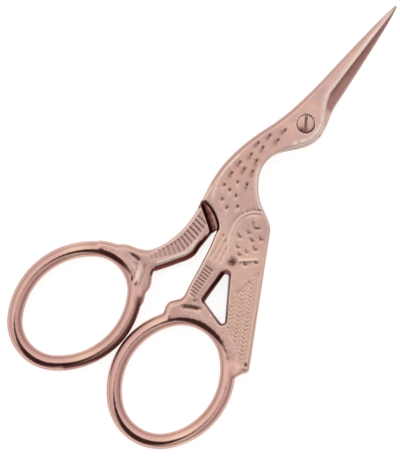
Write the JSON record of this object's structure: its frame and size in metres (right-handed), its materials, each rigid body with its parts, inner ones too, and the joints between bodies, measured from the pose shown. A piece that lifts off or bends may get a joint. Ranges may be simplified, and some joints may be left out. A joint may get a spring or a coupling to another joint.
{
  "type": "stork embroidery scissors",
  "caption": "Small needlework scissors shaped as a standing stork: its beak is the blades, a slotted screw is the pivot, and two oval finger rings are at its feet.",
  "frame": {"origin": "on the pivot axis, in the plane that the closed scissors rest on", "axes": "+Y from the pivot to the blade tips, +Z out of the face with the slotted screw head, +X towards the stork's chest and tail"},
  "size_m": [0.0546, 0.1148, 0.0038],
  "materials": {
    "halves": "rose-gold plated steel, satin, darker in the engraved lines",
    "screw": "rose-gold plated steel, satin"
  },
  "bodies": {
    "stork": {"stork_half": "halves"},
    "arm": {"plain_half": "halves", "pivot_screw": "screw"}
  },
  "joints": [
    {"name": "pivot", "type": "hinge", "parent": "stork", "child": "arm", "pos_m": [0, 0, 0.0018], "axis": [0, 0, -1], "range_deg": [0, 75]}
  ]
}
